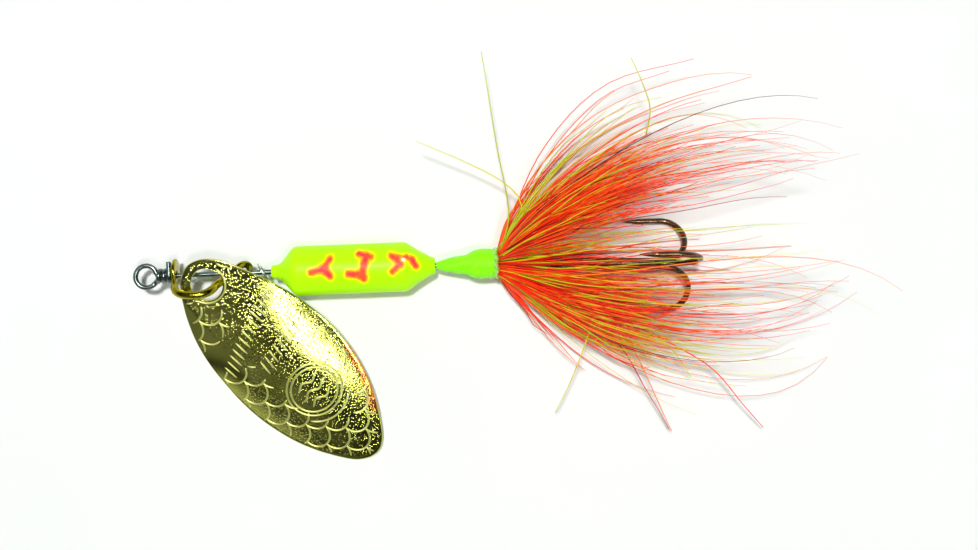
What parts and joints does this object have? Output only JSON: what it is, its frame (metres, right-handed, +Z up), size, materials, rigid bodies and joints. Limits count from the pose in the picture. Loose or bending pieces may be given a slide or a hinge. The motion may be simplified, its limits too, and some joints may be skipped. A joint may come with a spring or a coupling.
{
  "type": "inline spinner",
  "caption": "Inline spinner lure: wire shaft with line eye, cupped blade on a clevis, thrust washer, painted body, hackle tail and treble hook.",
  "frame": {"origin": "centre of the line eye, on the shaft's centre line", "axes": "+X along the shaft from the line eye to the hook bends, +Z up from the surface the lure lies on, +Y to the left of the shaft"},
  "size_m": [0.0637, 0.034, 0.0102],
  "materials": {
    "stainless_wire": "drawn stainless wire, smooth",
    "clevis_gold": "gold-plated brass, polished",
    "blade_brass": "polished brass with stippled field and embossed scales",
    "washer_nickel": "nickel plate, bright",
    "body_paint": "fluorescent chartreuse gloss paint with red and orange spots",
    "bronzed_hook": "dark bronze lacquer on forged wire",
    "braze_filler": "braze metal, dull",
    "winding_thread": "fluorescent green thread, close wound",
    "clear_lacquer": "clear head lacquer, wet gloss",
    "hair_red": "dyed hair, fluorescent red-orange with pink tips",
    "hair_chartreuse": "dyed hair, chartreuse"
  },
  "bodies": {
    "shaft": {"shaft_wire": "stainless_wire", "hook_pair": "bronzed_hook", "hook_single": "bronzed_hook", "hook_braze": "braze_filler", "thread_wrap": "winding_thread", "lacquer_ring": "clear_lacquer", "hackle_red_1": "hair_red", "hackle_red_2": "hair_red", "hackle_red_3": "hair_red", "hackle_red_4": "hair_red", "hackle_red_5": "hair_red", "hackle_red_6": "hair_red", "hackle_red_7": "hair_red", "hackle_red_8": "hair_red", "hackle_chartreuse_1": "hair_chartreuse", "hackle_chartreuse_2": "hair_chartreuse", "hackle_chartreuse_3": "hair_chartreuse", "hackle_chartreuse_4": "hair_chartreuse"},
    "clevis": {"clevis": "clevis_gold"},
    "blade": {"blade": "blade_brass"},
    "washer": {"thrust_washer": "washer_nickel"},
    "lure_body": {"lure_body": "body_paint"}
  },
  "joints": [
    {"name": "blade_spin", "type": "hinge", "parent": "shaft", "child": "clevis", "pos_m": [0.00255, 0, 0], "axis": [1, 0, 0], "continuous": true},
    {"name": "blade_swing", "type": "hinge", "parent": "clevis", "child": "blade", "pos_m": [0.00625, -0.0018, 0.0012], "axis": [0.0355, 0.1771, -0.9835], "range_deg": [0, 38]},
    {"name": "washer_spin", "type": "hinge", "parent": "shaft", "child": "washer", "pos_m": [0.0104, 0, 0], "axis": [1, 0, 0], "continuous": true},
    {"name": "body_spin", "type": "hinge", "parent": "shaft", "child": "lure_body", "pos_m": [0.0183, 0, 0], "axis": [1, 0, 0], "continuous": true}
  ]
}
